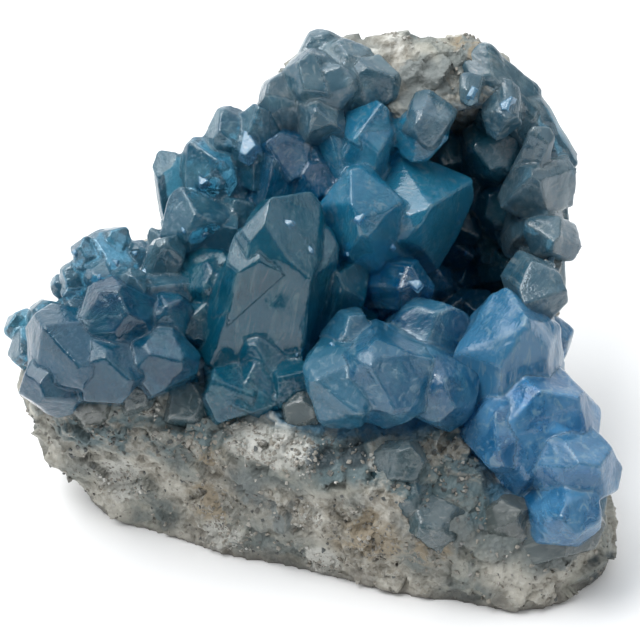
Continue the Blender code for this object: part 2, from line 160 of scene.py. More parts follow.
# The crystals that narrow by another share.
TAPER = {"hall_front": 0.5, "right_peak": 0.35, "great_right": 0.15, "right_bright": 0.3}

# Pieces of the crust: the first words of their crystals' names, and their finish.
CLUSTERS = {
    "left_lobe_crystals": (("left",), "clear"),
    "left_block_crystals": (("block",), "blocky"),
    "ridge_crystals": (("ridge",), "misty"),
    "crest_crystals": (("crest",), "cloudy"),
    "hall_crystals": (("hall",), "milky"),
    "great_crystals": (("great",), "steel"),
    "deep_crystals": (("inner", "under"), "deep"),
    "frosted_crystals": (("frosted",), "frosted"),
    "right_crystals": (("right",), "bright"),
    "pocket_crystals": (("pocket",), "shaded"),
    "arch_crystals": (("rim", "arch"), "cloudy"),
    "band_crystals": (("band",), "grey"),
    "glinting_facets": (("glint",), "glint"),
}

# Where crystals cover the rock: centre, half sizes along the lump's own axes, and its turn about X, Y, Z.
GROWTH = {
    "left_lobe": ((-46, 0, 42), (19, 19, 19), (0, 15, 0)),
    "left_ridge": ((-18, 12, 62), (24, 24, 26), (0, 0, 0)),
    "middle": ((0, -12, 50), (40, 22, 22), (10, 6, -10)),
    "right_flank": ((47, -24, 24), (15, 20, 19), (0, 0, 0)),
    "crest": ((6, 26, 80), (18, 14, 13), (0, 0, 0)),
    "pocket": ((33, 12, 50), (17, 24, 33), (0, 0, 10)),
}

# How soft a lump's rim is, as a share of its size.
LUMP_RIM = 0.25
# Where the rock is blue: the crystal bed's colour, made dark as painted shade in the recesses between the
# crystals.
BED = {name: lump for name, lump in GROWTH.items() if name != "crest"}

# Smaller crystals that fill the bed between the large ones: spacing, width, and the least turn of the
# bed towards the viewer, as the cosine.
DRUSE = {
    "middling": (6.4, (8.5, 13.0), 0.2),
    "small": (5.0, (3.0, 5.5), -0.1),
}
# The first words of the large crystals that have none of a kind beside them, and of those that own none.
BARE = {"middling": ("crest", "right", "frosted", "block"), "small": ("crest", "frosted", "right")}
OWN_NONE = ("band", "arch")
DRUSE_FORMS = 7
DRUSE_SLENDERNESS = (1.05, 1.5)
DRUSE_THICKNESS = (0.8, 1.0)
# How much a small crystal leans from the bed's normal towards the viewer, and at random.
DRUSE_LEAN = 0.45
DRUSE_TILT = 0.45
# How deep its root sits as a share of its width, and how much deeper where the bed turns away.
DRUSE_ROOT = 0.45
DRUSE_EXTRA_ROOT = 0.35
# Its width where the bed turns away, as a share of its width where the bed faces the viewer.
DRUSE_AWAY = 0.6
# Past the outline it shrinks by this share, and goes if it gets too narrow.
DRUSE_SHRINK = 0.75
DRUSE_LEAST = 2.2
DRUSE_TRIES = 5000
DRUSE_SEED = 49
# Points nearer to each other than this are one.
MERGE_DISTANCE = 0.001


def view_axes():
    """The viewer's right, up and backward directions."""
    lift = math.radians(VIEW_ELEVATION)
    right = Vector((1, 0, 0))
    up = Vector((0, math.sin(lift), math.cos(lift)))
    back = Vector((0, -math.cos(lift), math.sin(lift)))
    return right, up, back


def light_direction(azimuth, elevation):
    """The direction a light shines from, by its angles round from the front and up."""
    turn, lift = math.radians(azimuth), math.radians(elevation)
    return Vector((math.sin(turn) * math.cos(lift), -math.cos(turn) * math.cos(lift), math.sin(lift)))


def only(item):
    """Leaves the item selected and active, and nothing else."""
    bpy.ops.object.select_all(action="DESELECT")
    item.select_set(True)
    bpy.context.view_layer.objects.active = item


def apply_modifier(item, name, kind, **values):
    """Adds a modifier with the values and applies it."""
    only(item)
    made = item.modifiers.new(name, kind)
    for key, value in values.items():
        setattr(made, key, value)
    bpy.ops.object.modifier_apply(modifier=made.name)


def join(items, name):
    """Makes the items one object."""
    only(items[0])
    for item in items:
        item.select_set(True)
    if len(items) > 1:
        bpy.ops.object.join()
    items[0].name = items[0].data.name = name
    return items[0]


def rows_of(item, kind):
    """The mesh's points (co) or its normals (normal) as an array of rows."""
    found = np.zeros(len(item.data.vertices) * 3)
    item.data.vertices.foreach_get(kind, found)
    return found.reshape(-1, 3)


def set_points(item, co):
    """Moves the mesh's points to the rows of the array."""
    item.data.vertices.foreach_set("co", np.ascontiguousarray(co).ravel())
    item.data.update()


def set_attribute(item, name, values):
    """Stores one number, or one vector, for each point."""
    values = np.asarray(values, dtype=np.float32)
    kind, key = ("FLOAT", "value") if values.ndim == 1 else ("FLOAT_VECTOR", "vector")
    item.data.attributes.new(name, kind, "POINT").data.foreach_set(key, values.ravel())


def placed_copy(source, name, place):
    """A copy of the object with its own mesh, moved to the place."""
    copy = bpy.data.objects.new(name, source.data.copy())
    bpy.context.scene.collection.objects.link(copy)
    copy.data.transform(place)
    return copy


def cad_copy(node, name):
    """A copy of a CAD node in millimetres, its loose triangles merged."""
    copy = placed_copy(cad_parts[node], name, Matrix.Scale(1.0 / MM, 4))
    copy.data.materials.clear()
    only(copy)
    bpy.ops.object.mode_set(mode="EDIT")
    bpy.ops.mesh.select_all(action="SELECT")
    bpy.ops.mesh.remove_doubles(threshold=MERGE_DISTANCE)
    bpy.ops.object.mode_set(mode="OBJECT")
    return copy


def faces_of(meshes, unit=1.0):
    """The faces of the meshes, to cast rays on, with the unit as 1."""
    corners, faces = [], []
    for mesh in meshes:
        faces += [[len(corners) + i for i in face.vertices] for face in mesh.polygons]
        corners += [vertex.co / unit for vertex in mesh.vertices]
    return BVHTree.FromPolygons(corners, faces)


def cad_faces(*nodes):
    """The faces of the CAD nodes, to cast rays on."""
    return faces_of([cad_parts[node].data for node in nodes], MM)


def finish_piece(item, material, slot, *nodes):
    """Scales the piece to metres, gives it its material and fixes it to the geode."""
    item.data.transform(Matrix.Scale(MM, 4))
    item.data.materials.clear()
    item.data.materials.append(material)
    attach(item, BODY)
    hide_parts(*nodes)


def in_lumps(points, lumps):
    """For each point, 1 inside the lumps and 0 outside, with a soft rim."""
    inside = np.zeros(len(points))
    for centre, half, turn in lumps.values():
        angles = Euler([math.radians(angle) for angle in turn])
        local = (points - np.array(centre)) @ np.array(angles.to_matrix())
        reach = np.linalg.norm(local / np.array(half), axis=1)
        inside = np.maximum(inside, np.clip((1.0 - reach) / LUMP_RIM + 0.5, 0.0, 1.0))
    return inside


def bed_point(surface, u, v):
    """The point of the rock that the viewer sees at u to the right and v up."""
    right, up, back = view_axes()
    eye = VIEW_CENTRE + back * VIEW_DISTANCE
    towards = (VIEW_CENTRE + right * u + up * v - eye).normalized()
    hit = surface.ray_cast(eye, towards)[0]
    if hit is None:
        beside = VIEW_CENTRE + right * u + up * v
        nearest = surface.find_nearest(beside)[0]
        hit = beside + towards * (nearest - beside).dot(towards)
    return hit, -towards


# Crystals

def face_direction(h, k, l):
    """The direction of a crystal face by its Miller indices, with the a axis along local Z."""
    return Vector((k / CELL_B, l / CELL_C, h / CELL_A)).normalized()


def prism_faces(width, thickness, rng):
    """The sides: four faces of a rhombic prism, blunted by two flats."""
    faces = []
    for k in (-1, 1):
        for l in (-1, 1):
            faces.append((face_direction(0, k, l), 0.5 * width * rng.uniform(*PRISM_SPREAD)))
    for l in (-1, 1):
        faces.append((face_direction(0, 0, l), 0.5 * thickness * rng.uniform(*FLAT_SPREAD)))
    return faces


def roof_faces(length, rng):
    """The two faces that meet in a ridge at the tip, and the flat root end."""
    faces = [(face_direction(-1, 0, 0), 0.5 * length)]
    for k in (-1, 1):
        along = face_direction(2, k, 0)
        faces.append((along, 0.5 * length * along.z * rng.uniform(*ROOF_SPREAD)))
    return faces


def shoulder_faces(length, thickness, rng):
    """The faces that cut the ridge's two ends and the corners below it."""
    faces = []
    for l in (-1, 1):
        along = face_direction(1, 0, l)
        ridge_end = 0.5 * length * along.z + RIDGE_SHARE * thickness
        faces.append((along, ridge_end * rng.uniform(*RIDGE_END_SPREAD)))
        for k in (-1, 1):
            along = face_direction(1, k, l)
            faces.append((along, 0.5 * length * along.z * rng.uniform(*CORNER_SPREAD)))
    return faces


def cut_block(planes):
    """Cuts the active block by each plane, given by a point on it and its outward direction."""
    bpy.ops.object.mode_set(mode="EDIT")
    for point, outward in planes:
        bpy.ops.mesh.select_all(action="SELECT")
        bpy.ops.mesh.bisect(plane_co=point, plane_no=outward, use_fill=True, clear_outer=True)
    bpy.ops.object.mode_set(mode="OBJECT")


def cut_crystal(name, faces, length, place, taper=0.0):
    """A block cut down to a crystal by one plane for each of its faces, then narrowed towards its tip."""
    bpy.ops.mesh.primitive_cube_add(
        size=BLOCK_SHARE * length, location=place.translation, rotation=place.to_euler()
    )
    crystal = bpy.context.object
    crystal.name = name
    turn = place.to_3x3()
    cut_block([(place @ (direction * distance), turn @ direction) for direction, distance in faces])
    for vertex in crystal.data.vertices:
        narrow = 1.0 - taper * vertex.co.z / length
        vertex.co = Vector((vertex.co.x * narrow, vertex.co.y * narrow, vertex.co.z))
    bpy.ops.object.transform_apply(location=True, rotation=True, scale=True)
    return crystal


def along_axis(axis, turn):
    """The rotation that points local Z along the axis, after a turn about it."""
    return axis.to_track_quat("Z", "Y").to_matrix() @ Matrix.Rotation(math.radians(turn), 3, "Z")


def strewn(rng):
    """A random vector, each number of it from -1 to 1."""
    return Vector((rng.uniform(-1, 1), rng.uniform(-1, 1), rng.uniform(-1, 1)))


def large_crystals(surface):
    """The crystals of the table: name, crystal and place."""
    right, up, _ = view_axes()
    rng = random.Random(CRYSTAL_SEED)
    made = []
    for name, row in CRYSTALS.items():
        u, v, rise, lean_right, lean_up, length, width, thickness, turn = row
        hit, to_viewer = bed_point(surface, u, v)
        forward = math.sqrt(max(0.0, 1.0 - lean_right**2 - lean_up**2))
        axis = (right * lean_right + up * lean_up + to_viewer * forward).normalized()
        faces = prism_faces(width, thickness, rng) + roof_faces(length, rng)
        faces += shoulder_faces(length, thickness, rng)
        place = Matrix.Translation(hit + to_viewer * rise) @ along_axis(axis, turn).to_4x4()
        crystal = cut_crystal("crystal_" + name, faces, length, place, TAPER.get(name, USUAL_TAPER))
        made.append((name, crystal, place))
    return made


def small_forms():
    """Small crystals one unit wide that the druse repeats, with their lengths."""
    rng = random.Random(DRUSE_SEED)
    forms = []
    for number in range(DRUSE_FORMS):
        length = rng.uniform(*DRUSE_SLENDERNESS)
        faces = prism_faces(1.0, rng.uniform(*DRUSE_THICKNESS), rng) + roof_faces(length, rng)
        forms.append((cut_crystal(f"form_{number}", faces, length, Matrix.Identity(4)), length))
    return forms


def covered(rock):
    """For each face of the rock, True if crystals cover it."""
    centres = np.array([face.center for face in rock.data.polygons])
    return in_lumps(centres, GROWTH) > 0.5


def druse_seats(rock, spacing, least_facing, rng):
    """Points spread over the rock where crystals cover it, each with the rock's normal."""
    back = view_axes()[2]
    faces = [
        face for face, inside in zip(rock.data.polygons, covered(rock))
        if inside and face.normal.dot(back) > least_facing
    ]
    seats = []
    for face in rng.choices(faces, weights=[face.area for face in faces], k=DRUSE_TRIES):
        corners = [rock.data.vertices[i].co for i in face.vertices]
        a, b = sorted((rng.random(), rng.random()))
        point = corners[0] * a + corners[1] * (b - a) + corners[2] * (1.0 - b)
        if all((point - other).length >= spacing for other, _ in seats):
            seats.append((point, face.normal.copy()))
    return seats


def inside_outline(solids, point):
    """True if the viewer sees one of the solids behind or before the point."""
    eye = VIEW_CENTRE + view_axes()[2] * VIEW_DISTANCE
    return solids.ray_cast(eye, (point - eye).normalized())[0] is not None


def druse(rock, crystals, solids):
    """Small crystals between the large ones: the name of the nearest large one, crystal and place."""
    rng = random.Random(DRUSE_SEED)
    back = view_axes()[2]
    forms = small_forms()
    middles = [(name, place.translation) for name, _, place in crystals if not name.startswith(OWN_NONE)]
    made = []
    for kind, (spacing, widths, least_facing) in DRUSE.items():
        for point, normal in druse_seats(rock, spacing, least_facing, rng):
            nearest = min(middles, key=lambda pair: (pair[1] - point).length)[0]
            if nearest.split("_")[0] in BARE[kind]:
                continue
            form, slenderness = rng.choice(forms)
            facing = max(0.0, normal.dot(back))
            width = rng.uniform(*widths) * (DRUSE_AWAY + (1.0 - DRUSE_AWAY) * facing)
            axis = (normal + DRUSE_LEAN * back + DRUSE_TILT * strewn(rng)).normalized()
            turn = along_axis(axis, rng.uniform(0, 180)).to_4x4()
            while width >= DRUSE_LEAST and not inside_outline(solids, point + axis * width * slenderness):
                width *= DRUSE_SHRINK
            if width < DRUSE_LEAST:
                continue
            root = DRUSE_ROOT + DRUSE_EXTRA_ROOT * (1.0 - facing)
            place = Matrix.Translation(point + axis * width * (0.5 * slenderness - root)) @ turn
            crystal = placed_copy(form, f"{kind}_{len(made)}", place @ Matrix.Scale(width, 4))
            made.append((nearest, crystal, place))
    for form, _ in forms:
        bpy.data.objects.remove(form)
    return made


# Small flat facets that mirror the window: to the right of and above the middle of the view, width.
GLINTS = (
    (-51, 14, 2.4), (-42.6, 12, 2.4), (-38.5, 14, 1.8), (-36.4, 10, 3), (-46, 9, 1.8),
    (-28.5, 18.7, 2.2), (-23.9, 18.1, 2), (-24.5, 29, 4), (-15.2, 36.2, 8.5),
    (-6.7, 20.2, 3.6), (-2, 14.6, 3), (7.9, 21.2, 3.4), (15, 15.4, 2.6),
    (20, 7.5, 3.8), (17, 9.6, 1.6), (5.8, 13.9, 1.4), (2.7, -5.2, 1.8),
    (-4.8, -7.1, 1.8), (38, -33.7, 2.4), (38.9, 44.9, 5), (31.4, 47.2, 3.2),
)
GLINT_SEED = 3
GLINT_TILT = 0.05
# A facet's sides, how far each turns at random, and how much the sides slope.
GLINT_SIDES = 5
GLINT_SIDE_TURN = 22
GLINT_SLOPE = 0.25
# Shares of its width: how far its sides, its face and its root are from its middle, and how deep it sits.
GLINT_REACH = (0.3, 0.5)
GLINT_FACE = 0.14
GLINT_ROOT = 0.3
GLINT_SUNK = 0.04
GLINT_NARROWNESS = 0.55


def glint_faces(width, rng):
    """The flat face, the root and the sides of a facet that is longer than it is wide."""
    faces = [(Vector((0, 0, 1)), GLINT_FACE * width), (Vector((0, 0, -1)), GLINT_ROOT * width)]
    for side in range(GLINT_SIDES):
        angle = math.radians(360 / GLINT_SIDES * side + rng.uniform(-GLINT_SIDE_TURN, GLINT_SIDE_TURN))
        reach = width * rng.uniform(*GLINT_REACH) * (1.0 - GLINT_NARROWNESS * abs(math.sin(angle)))
        faces.append((Vector((math.cos(angle), math.sin(angle), GLINT_SLOPE)).normalized(), reach))
    return faces


def glint_chips(skins):
    """Flat chips on the skins that the viewer sees, turned to mirror the window: name, chip and place."""
    rng = random.Random(GLINT_SEED)
    skin = faces_of([item.data for item in skins])
    halfway = (view_axes()[2] + light_direction(*WINDOW[:2])).normalized()
    made = []
    for number, (u, v, width) in enumerate(GLINTS):
        hit, to_viewer = bed_point(skin, u, v)
        turn = along_axis((halfway + GLINT_TILT * strewn(rng)).normalized(), rng.uniform(0, 180))
        faces = glint_faces(width, rng)
        place = Matrix.Translation(hit - to_viewer * GLINT_SUNK * width) @ turn.to_4x4()
        name = f"glint_{number}"
        made.append((name, cut_crystal(name, faces, width, place), place))
    return made


def grow_together(name, crystals, finish):
    """The crystals as one skin, which keeps each point's place in its own crystal for the material."""
    for number, (crystal, _) in enumerate(crystals):
        mark = crystal.data.attributes.new("crystal", "INT", "FACE")
        mark.data.foreach_set("value", [number] * len(crystal.data.polygons))
    cluster = join([crystal for crystal, _ in crystals], name)
    faces = faces_of([cluster.data])
    owner = [entry.value for entry in cluster.data.attributes["crystal"].data]
    face_normals = [face.normal.copy() for face in cluster.data.polygons]
    apply_modifier(cluster, "one skin", "REMESH", mode="VOXEL", voxel_size=finish["grid"])
    if finish["softness"]:
        apply_modifier(cluster, "soft edges", "SMOOTH", factor=0.5, iterations=finish["softness"])
    weather_crystals(cluster, faces, face_normals, owner, [place for _, place in crystals], finish)
    return cluster


# Relief of the crystal faces: how long streaks and growth steps are across and along the crystal, how long
# waves and etched spots are, and the growth steps between no height and full height.
STREAK_SIZE = (1.1, 6.0)
STEP_SIZE = (6.0, 9.0)
WAVE_SIZE = 5.0
ETCH_SIZE = 0.9
STEPS = 3
# Where the tint of each crystal and the dullness of each face are drawn from.
TINT_DRAW = (3.7, 1.3, 0.5)
DULL_DRAW = (1.9, 7.1, 2.5)
# How fast a rim turns pale, and how far apart the crystals lie in the space of their veils.
RIM_GAIN = 1.6
OWN_SPACING = 40.0


def drawn_shade(number, draw):
    """A shade from 0 to 1 for the number."""
    step, row, column = draw
    return noise.cell(Vector((step * number, row, column)))


def long_noise(place, size):
    """Noise whose spots have one size across the crystal and another along it."""
    across, along = size
    return noise.noise(Vector((place.x / across, place.y / across, place.z / along)))


def weather_crystals(cluster, faces, face_normals, owner, places, finish):
    """Stores what the material needs and gives the faces growth steps, streaks and etching."""
    inverses = [place.inverted() for place in places]
    local, tint, dull, rim, moves = [], [], [], [], []
    for vertex in cluster.data.vertices:
        face = faces.find_nearest(vertex.co)[2]
        number = owner[face]
        own = inverses[number] @ vertex.co + Vector((OWN_SPACING * number, 0, 0))
        local.append(own)
        tint.append(drawn_shade(number, TINT_DRAW))
        dull.append(drawn_shade(face, DULL_DRAW))
        rim.append(1.0 - max(0.0, vertex.normal.dot(face_normals[face])))
        streak = finish["streak"] * long_noise(own, STREAK_SIZE)
        wave = finish["wave"] * noise.noise(own / WAVE_SIZE)
        step = finish["step"] * (round(STEPS * long_noise(own, STEP_SIZE)) / STEPS)
        etch = finish["etch"] * noise.noise(own / ETCH_SIZE)
        moves.append(vertex.normal * (streak + wave + step + etch))
    set_points(cluster, rows_of(cluster, "co") + np.array(moves))
    rim = np.clip(np.array(rim) * RIM_GAIN, 0.0, 1.0)
    for name, values in (("own_place", local), ("tint", tint), ("dull", dull), ("rim", rim)):
        set_attribute(cluster, name, values)
    only(cluster)
    bpy.ops.object.shade_smooth()


# Materials

# Noise patterns: scale, detail, roughness and distortion, and where each starts to show and shows in full.
# The scale is per millimetre in a crystal and per metre in the rock.
PATTERNS = {
    "Veil": ((0.55, 5.0, 0.55, 1.2), (0.5, 0.72)),
    "Cloud": ((0.16, 3.0, 0.55, 0.6), (0.35, 0.68)),
    "Fine": ((1.6, 3.0, 0.55, 0.0), None),
    "Chunk": ((110.0, 5.0, 0.6, 0.8), (0.38, 0.62)),
    "Crumb": ((700.0, 3.0, 0.6, 0.0), (0.42, 0.62)),
    "Speck": ((1500.0, 2.0, 0.5, 0.0), (0.63, 0.7)),
}
GRAIN_CELLS = 850.0
# The shades of a face between which it turns from glassy to dull.
DULL_RANGE = (0.35, 0.75)
# Streaks are drawn out along the crystal.
STREAK_STRETCH = (1.0, 1.0, 0.22)
CELESTITE_IOR = 1.62


def feed(tree, node, inputs):
    """Gives the node's inputs, by name or number, their values: sockets, numbers or colours."""
    for key, value in inputs.items():
        socket = node.inputs[key]
        if isinstance(value, bpy.types.NodeSocket):
            tree.links.new(value, socket)
        else:
            socket.default_value = (*value, 1.0) if socket.type == "RGBA" else value


def add(tree, kind, inputs=None, **settings):
    """Adds a node with its inputs; a setting is one of its properties."""
    node = tree.nodes.new(kind)
    for key, value in settings.items():
        setattr(node, key, value)
    feed(tree, node, inputs or {})
    return node


def noise_node(tree, place, kind):
    """The noise of one of the patterns at the place."""
    inputs = dict(zip(("Scale", "Detail", "Roughness", "Distortion"), PATTERNS[kind][0]))
    return add(tree, "ShaderNodeTexNoise", {"Vector": place, **inputs}).outputs["Fac"]


def ramp(tree, value, low, high, to_low=0.0, to_high=1.0):
    """Maps the range low to high of a value smoothly onto another range."""
    inputs = {"Value": value, "From Min": low, "From Max": high, "To Min": to_low, "To Max": to_high}
    node = add(tree, "ShaderNodeMapRange", inputs, clamp=True, interpolation_type="SMOOTHSTEP")
    return node.outputs["Result"]


def blend(tree, share, first, second):
    """A mix of two colours; each is a colour or a socket."""
    return add(tree, "ShaderNodeMix", {0: share, 6: first, 7: second}, data_type="RGBA").outputs[2]


def calculate(tree, operation, first, second):
    """The result of a Math node; each value is a number or a socket."""
    return add(tree, "ShaderNodeMath", {0: first, 1: second}, operation=operation).outputs[0]


def attribute(tree, name, output="Fac"):
    """A value that is stored with the mesh's points."""
    return add(tree, "ShaderNodeAttribute", attribute_name=name).outputs[output]


def bump(tree, height, distance):
    """Relief with the height; the distance is in millimetres."""
    inputs = {"Height": height, "Distance": distance * MM, "Strength": 1.0}
    return add(tree, "ShaderNodeBump", inputs).outputs["Normal"]


def new_group(name, *outputs):
    """A node group that takes a place and puts out numbers, with its place and its output node."""
    group = bpy.data.node_groups.new(name, "ShaderNodeTree")
    group.interface.new_socket("Place", in_out="INPUT", socket_type="NodeSocketVector")
    for output in outputs:
        group.interface.new_socket(output, in_out="OUTPUT", socket_type="NodeSocketFloat")
    return group, add(group, "NodeGroupInput").outputs["Place"], add(group, "NodeGroupOutput")


def veils_group():
    """Cloudy veils and streaks that run along a crystal, and the fine relief of its faces."""
    group, place, made = new_group("growth veils", "Veil", "Cloud", "Height")
    stretch = add(group, "ShaderNodeMapping", {"Vector": place, "Scale": STREAK_STRETCH}).outputs["Vector"]
    veil, cloud = noise_node(group, stretch, "Veil"), noise_node(group, place, "Cloud")
    feed(group, made, {
        "Veil": ramp(group, veil, *PATTERNS["Veil"][1]),
        "Cloud": ramp(group, cloud, *PATTERNS["Cloud"][1]),
        "Height": noise_node(group, stretch, "Fine"),
    })
    return group


def principled(name):
    """A new material, its node tree and its shader."""
    made = bpy.data.materials.new(name)
    made.use_nodes = True
    return made, made.node_tree, made.node_tree.nodes["Principled BSDF"]


def celestite(name, finish, veils):
    """Translucent blue crystal: cloudy inside, with glassy and duller faces and rims paler where the faces
    round over.
    """
    made, tree, shader = principled(name)
    place = attribute(tree, "own_place", "Vector")
    inner = add(tree, "ShaderNodeGroup", {"Place": place}, node_tree=veils).outputs
    body = blend(tree, inner["Cloud"], finish["deep"], finish["pale"])
    tinted = blend(tree, attribute(tree, "tint"), body, finish["other"])
    veil = calculate(tree, "MULTIPLY", inner["Veil"], finish["veil"])
    rim_paleness = calculate(tree, "MULTIPLY", attribute(tree, "rim"), finish["rim"])
    feed(tree, shader, {
        "Base Color": blend(tree, rim_paleness, blend(tree, veil, tinted, finish["mist"]), finish["mist"]),
        "Roughness": ramp(tree, attribute(tree, "dull"), *DULL_RANGE, *finish["roughness"]),
        "Normal": bump(tree, inner["Height"], finish["relief"]),
        "Transmission Weight": finish["clarity"],
        "IOR": CELESTITE_IOR,
    })
    absorption = {"Color": finish["absorb"], "Density": finish["density"]}
    inside = add(tree, "ShaderNodeVolumeAbsorption", absorption).outputs["Volume"]
    feed(tree, tree.nodes["Material Output"], {"Volume": inside})
    return made


# The usual finish of a crystal. Absorb is the colour of the light that it lets through, softness is a number
# of smoothing steps, and relief, streak, wave, step and etch are heights in millimetres.
CELESTITE = {
    "pale": (0.16, 0.36, 0.48),
    "deep": (0.03, 0.20, 0.32),
    "other": (0.09, 0.28, 0.38),
    "mist": (0.40, 0.64, 0.75),
    "absorb": (0.20, 0.76, 0.92),
    "density": 45.0,
    "clarity": 0.72,
    "roughness": (0.02, 0.14),
    "veil": 0.6,
    "rim": 0.3,
    "relief": 0.12,
    "softness": 1,
    "streak": 0.04,
    "wave": 0.10,
    "step": 0.22,
    "etch": 0.01,
    "grid": CRYSTAL_GRID,
}


def own_finish(clarity, pale, deep, other, **rest):
    """A finish with its own clearness and colours of the body; the rest is as usual where it isn't given."""
    return {**CELESTITE, "clarity": clarity, "pale": pale, "deep": deep, "other": other, **rest}


FINISHES = {
    "clear": CELESTITE,
    "misty": own_finish(
        0.68, (0.12, 0.33, 0.44), (0.02, 0.18, 0.30), (0.07, 0.25, 0.35),
        softness=2, roughness=(0.05, 0.2),
    ),
    "cloudy": own_finish(
        0.64, (0.19, 0.34, 0.42), (0.05, 0.18, 0.27), (0.13, 0.26, 0.34),
        mist=(0.50, 0.60, 0.62), softness=12, roughness=(0.12, 0.34), rim=0.4, wave=0.4,
        etch=0.03, veil=0.7,
    ),
    "milky": own_finish(
        0.71, (0.02, 0.24, 0.36), (0.0, 0.16, 0.29), (0.01, 0.20, 0.32), mist=(0.15, 0.41, 0.50),
        roughness=(0.08, 0.22), veil=0.9, streak=0.05, softness=5, rim=0.2, wave=0.3, step=0.03,
    ),
    "steel": own_finish(
        0.68, (0.07, 0.47, 0.74), (0.02, 0.31, 0.58), (0.04, 0.40, 0.66),
        softness=3, rim=0.2, roughness=(0.06, 0.18), veil=0.55, step=0.12,
    ),
    "deep": own_finish(
        0.76, (0.03, 0.30, 0.56), (0.01, 0.19, 0.42), (0.02, 0.24, 0.46),
        density=30.0, rim=0.1,
    ),
    "frosted": own_finish(
        0.64, (0.08, 0.32, 0.51), (0.02, 0.18, 0.37), (0.04, 0.26, 0.42),
        roughness=(0.16, 0.36), softness=14, etch=0.03, rim=0.6, wave=0.3,
    ),
    "bright": own_finish(
        0.6, (0.13, 0.42, 0.74), (0.02, 0.21, 0.47), (0.07, 0.33, 0.60),
        roughness=(0.14, 0.32), softness=12, etch=0.03, rim=0.7, wave=0.35, veil=0.6,
    ),
    "blocky": own_finish(
        0.76, (0.03, 0.25, 0.40), (0.005, 0.13, 0.27), (0.01, 0.19, 0.33),
        mist=(0.11, 0.38, 0.53), softness=3, rim=0.5, roughness=(0.05, 0.16), wave=0.12,
    ),
    "shaded": own_finish(
        0.74, (0.05, 0.29, 0.40), (0.01, 0.16, 0.28), (0.03, 0.22, 0.34),
        softness=3, rim=0.2, roughness=(0.1, 0.25),
    ),
    # Pale, bright body colours: painted highlight, on chips that also mirror the window.
    "glint": own_finish(
        0.64, (0.24, 0.54, 0.78), (0.14, 0.42, 0.66), (0.20, 0.50, 0.74),
        mist=(0.5, 0.75, 0.9), softness=0, roughness=(0.08, 0.16), rim=0.3, wave=0.0,
        step=0.0, streak=0.02, grid=0.2,
    ),
    "grey": own_finish(
        0.5, (0.17, 0.23, 0.25), (0.05, 0.12, 0.15), (0.16, 0.18, 0.17),
        mist=(0.45, 0.48, 0.46), roughness=(0.2, 0.5), softness=7, etch=0.12, rim=0.6,
        veil=0.6, wave=0.4,
    ),
}


def grain_group():
    """The broken grain of the rock: coarse chunks, fine crumbs and dark specks, and their relief."""
    group, place, made = new_group("rock grain", "Chunk", "Crumb", "Speck", "Height")
    patterns = {kind: noise_node(group, place, kind) for kind in ("Chunk", "Crumb", "Speck")}
    feed(group, made, {kind: ramp(group, found, *PATTERNS[kind][1]) for kind, found in patterns.items()})
    cells = add(group, "ShaderNodeTexVoronoi", {"Vector": place, "Scale": GRAIN_CELLS}, feature="F1")
    height = calculate(group, "ADD", cells.outputs["Distance"], patterns["Crumb"])
    feed(group, made, {"Height": height})
    return group


def patched(tree, colour, name, patch, raggedness, chunk):
    """The colour with a ragged patch over it where the attribute says."""
    ragged = calculate(tree, "ADD", calculate(tree, "MULTIPLY", chunk, 2.0 * raggedness), 1.0 - raggedness)
    torn = calculate(tree, "MULTIPLY", attribute(tree, name), ragged)
    return blend(tree, ramp(tree, torn, *PATCH_RANGE, 0.0, PATCH_SHARE), colour, patch)


def rock_material(grain_nodes):
    """Grey and tan rock with white grainy patches, blue-grey crystalline zones, a dark blue bed and dark
    patches that carry painted shade, and darker faces near the base.
    """
    made, tree, shader = principled("host rock")
    place = add(tree, "ShaderNodeTexCoord").outputs["Object"]
    grain = add(tree, "ShaderNodeGroup", {"Place": place}, node_tree=grain_nodes).outputs
    chunk, crumb = grain["Chunk"], grain["Crumb"]
    smooth = blend(tree, chunk, *SMOOTH_COLOURS)
    gritty = blend(tree, chunk, *GRITTY_COLOURS)
    gritty = blend(tree, calculate(tree, "MULTIPLY", crumb, CRUMB_SHARE), gritty, CRUMB_COLOUR)
    colour = blend(tree, attribute(tree, "grit"), smooth, gritty)
    for name, patch, raggedness in PATCH_COLOURS:
        colour = patched(tree, colour, name, patch, raggedness, chunk)
    colour = blend(tree, attribute(tree, "base_darkening"), colour, BASE_DARK_COLOUR)
    speck = calculate(tree, "MULTIPLY", grain["Speck"], SPECK_SHARE)
    feed(tree, shader, {
        "Base Color": blend(tree, speck, colour, SPECK_COLOUR),
        "Roughness": ramp(tree, crumb, 0.0, 1.0, *ROCK_ROUGHNESS),
        "Normal": bump(tree, grain["Height"], ROCK_RELIEF),
    })
    return made


# The host rock

